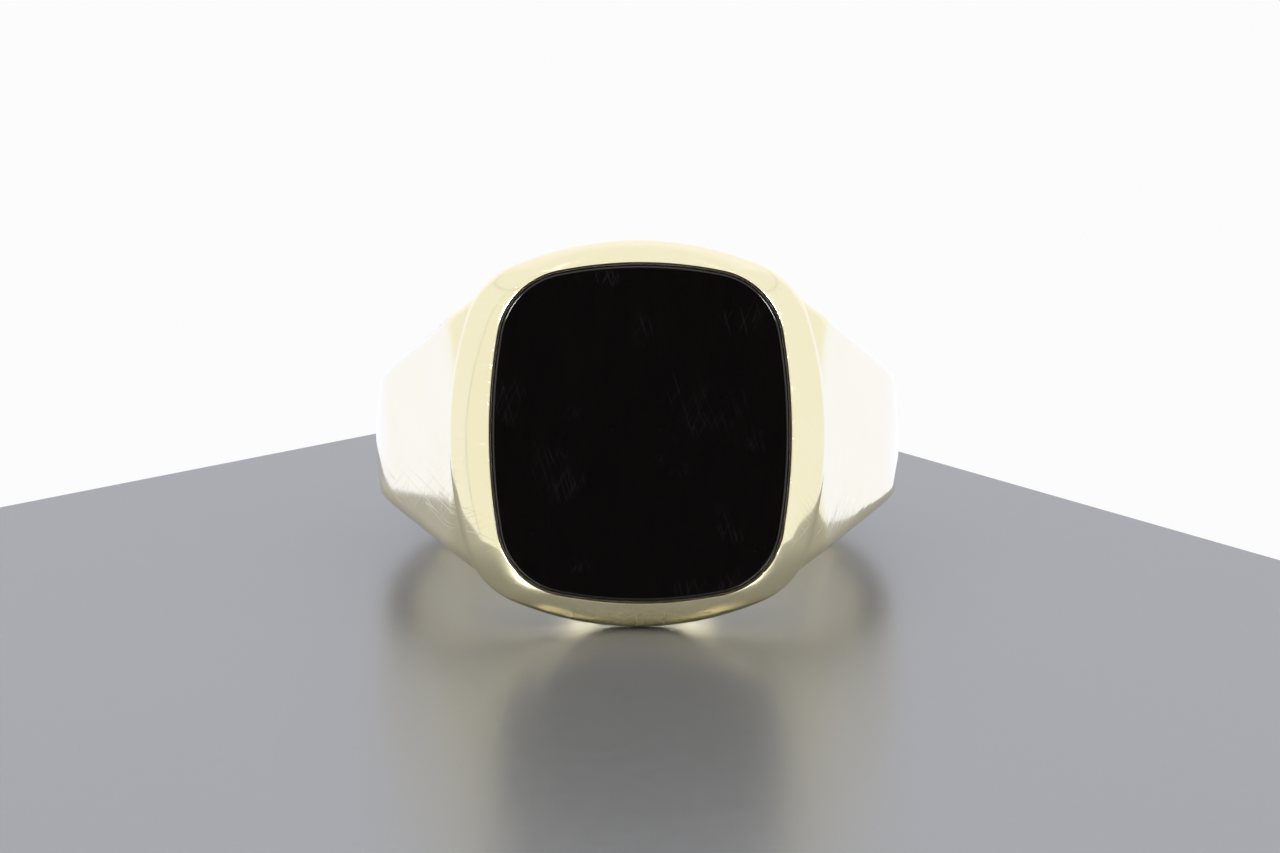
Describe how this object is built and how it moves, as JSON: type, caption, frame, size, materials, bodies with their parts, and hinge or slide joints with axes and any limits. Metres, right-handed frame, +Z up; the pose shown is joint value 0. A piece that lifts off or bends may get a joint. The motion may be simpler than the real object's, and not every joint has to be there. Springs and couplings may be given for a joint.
{
  "type": "signet ring",
  "caption": "Gold signet ring with tapering shoulders and a cushion-shaped head, whose bevelled border frames a flat inlaid black onyx tablet.",
  "frame": {"origin": "centre of the ring's footprint on the surface that it lies on, at that surface's height", "axes": "+Z up from that surface, -Y the way the head faces, +X to the right across the head; the finger hole's axis leans 14.13 degrees from +Z towards +Y"},
  "size_m": [0.0224, 0.0254, 0.0159],
  "materials": {
    "gold": "polished",
    "gold_satin": "satin",
    "cement": "satin",
    "onyx": "polished"
  },
  "bodies": {
    "root": {"shank": "gold", "bezel_frame": "gold", "seat_plate": "gold_satin", "stone_cement": "cement", "onyx_tablet": "onyx"}
  },
  "joints": []
}
